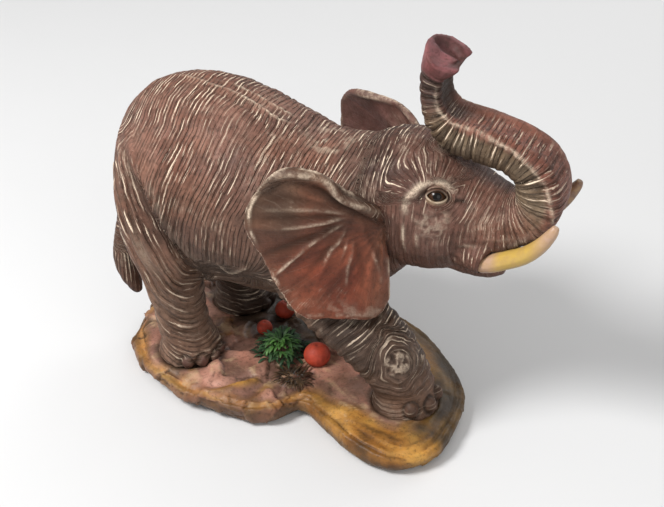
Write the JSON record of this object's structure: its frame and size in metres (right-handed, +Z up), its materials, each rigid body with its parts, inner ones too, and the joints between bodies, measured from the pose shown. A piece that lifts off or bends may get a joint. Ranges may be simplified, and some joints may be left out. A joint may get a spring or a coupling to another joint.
{
  "type": "elephant figurine",
  "caption": "Painted resin elephant ornament striding with its trunk curled up over its forehead and ears spread, on a low rocky base with a small leafy plant and round fruits.",
  "frame": {"origin": "under the animal's body, on the table, in the flat underside of the felt pad", "axes": "+X from the tail to the head, +Y to the animal's left, +Z up"},
  "size_m": [0.2396, 0.1265, 0.1987],
  "materials": {
    "hide": "painted resin, mauve-brown with a dark wash and cream dry-brushed ridges",
    "ear": "painted resin, reddish brown with a cream rim",
    "ivory": "painted resin, satin yellow ivory with pinkish ends",
    "eye": "glossy dark brown",
    "ground": "painted resin, mauve-brown ground with an ochre rim",
    "felt": "short dark felt",
    "steel": "plain steel rod",
    "fruit": "painted resin, satin orange red",
    "leaf": "painted resin, dark green with light green tips",
    "grass": "painted resin, dark brown"
  },
  "bodies": {
    "root": {"body_with_legs": "hide", "head": "hide", "trunk": "hide", "tail": "hide", "right_ear": "ear", "left_ear": "ear", "right_tusk": "ivory", "left_tusk": "ivory", "right_eye": "eye", "left_eye": "eye", "rocky_base": "ground", "felt_pad": "felt", "right_rear_foot_dowel": "steel", "left_rear_foot_dowel": "steel", "right_front_foot_dowel": "steel", "left_front_foot_dowel": "steel", "neck_dowel_1": "steel", "neck_dowel_2": "steel", "trunk_dowel": "steel", "fruit_large": "fruit", "fruit_small": "fruit", "fruit_shaded": "fruit", "leafy_plant": "leaf", "grass_tuft": "grass"}
  },
  "joints": []
}
